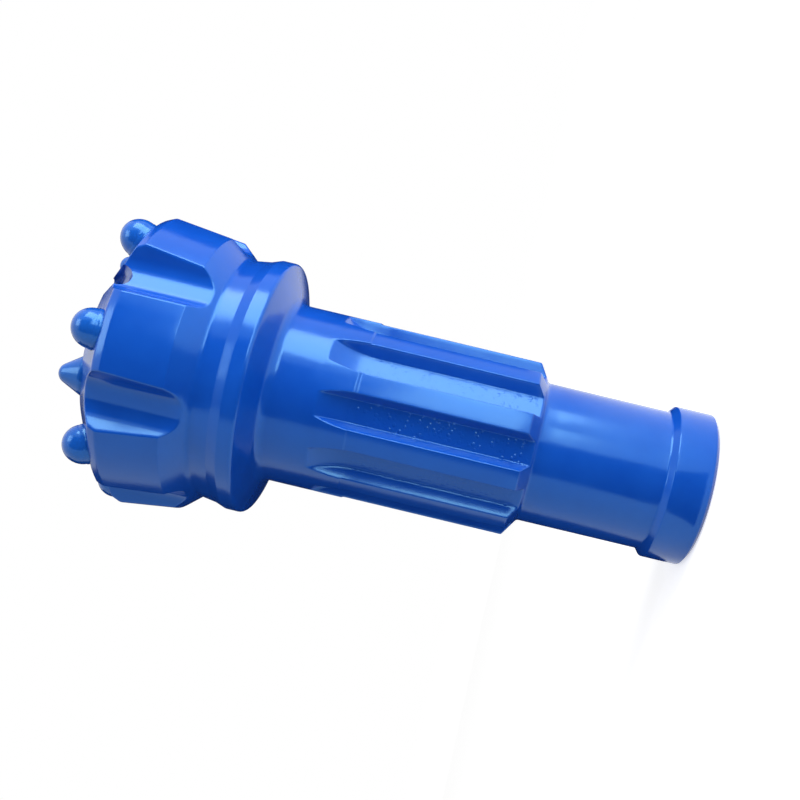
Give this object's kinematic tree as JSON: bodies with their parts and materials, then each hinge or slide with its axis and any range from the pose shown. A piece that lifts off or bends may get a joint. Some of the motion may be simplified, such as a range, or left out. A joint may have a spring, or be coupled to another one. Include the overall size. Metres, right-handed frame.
{
  "type": "button drill bit",
  "caption": "Down-the-hole drill bit with domed carbide buttons, a fluted head, a flange, a splined shank and a retaining collar.",
  "frame": {"origin": "centre of the strike face, on the bit's axis", "axes": "+Z along the bit's axis, from the strike face to the front face with the buttons; -Y towards the side that the picture shows"},
  "size_m": [0.1152, 0.1154, 0.2486],
  "materials": {
    "body_blue_paint": "gloss blue paint",
    "gauge_button_blue_paint": "gloss blue paint",
    "face_button_blue_paint": "gloss blue paint"
  },
  "bodies": {
    "root": {"bit_body": "body_blue_paint", "gauge_button_1": "gauge_button_blue_paint", "gauge_button_2": "gauge_button_blue_paint", "gauge_button_3": "gauge_button_blue_paint", "gauge_button_4": "gauge_button_blue_paint", "gauge_button_5": "gauge_button_blue_paint", "gauge_button_6": "gauge_button_blue_paint", "gauge_button_7": "gauge_button_blue_paint", "face_button_1": "face_button_blue_paint", "face_button_2": "face_button_blue_paint", "face_button_3": "face_button_blue_paint", "face_button_4": "face_button_blue_paint", "face_button_5": "face_button_blue_paint", "face_button_6": "face_button_blue_paint"}
  },
  "joints": []
}
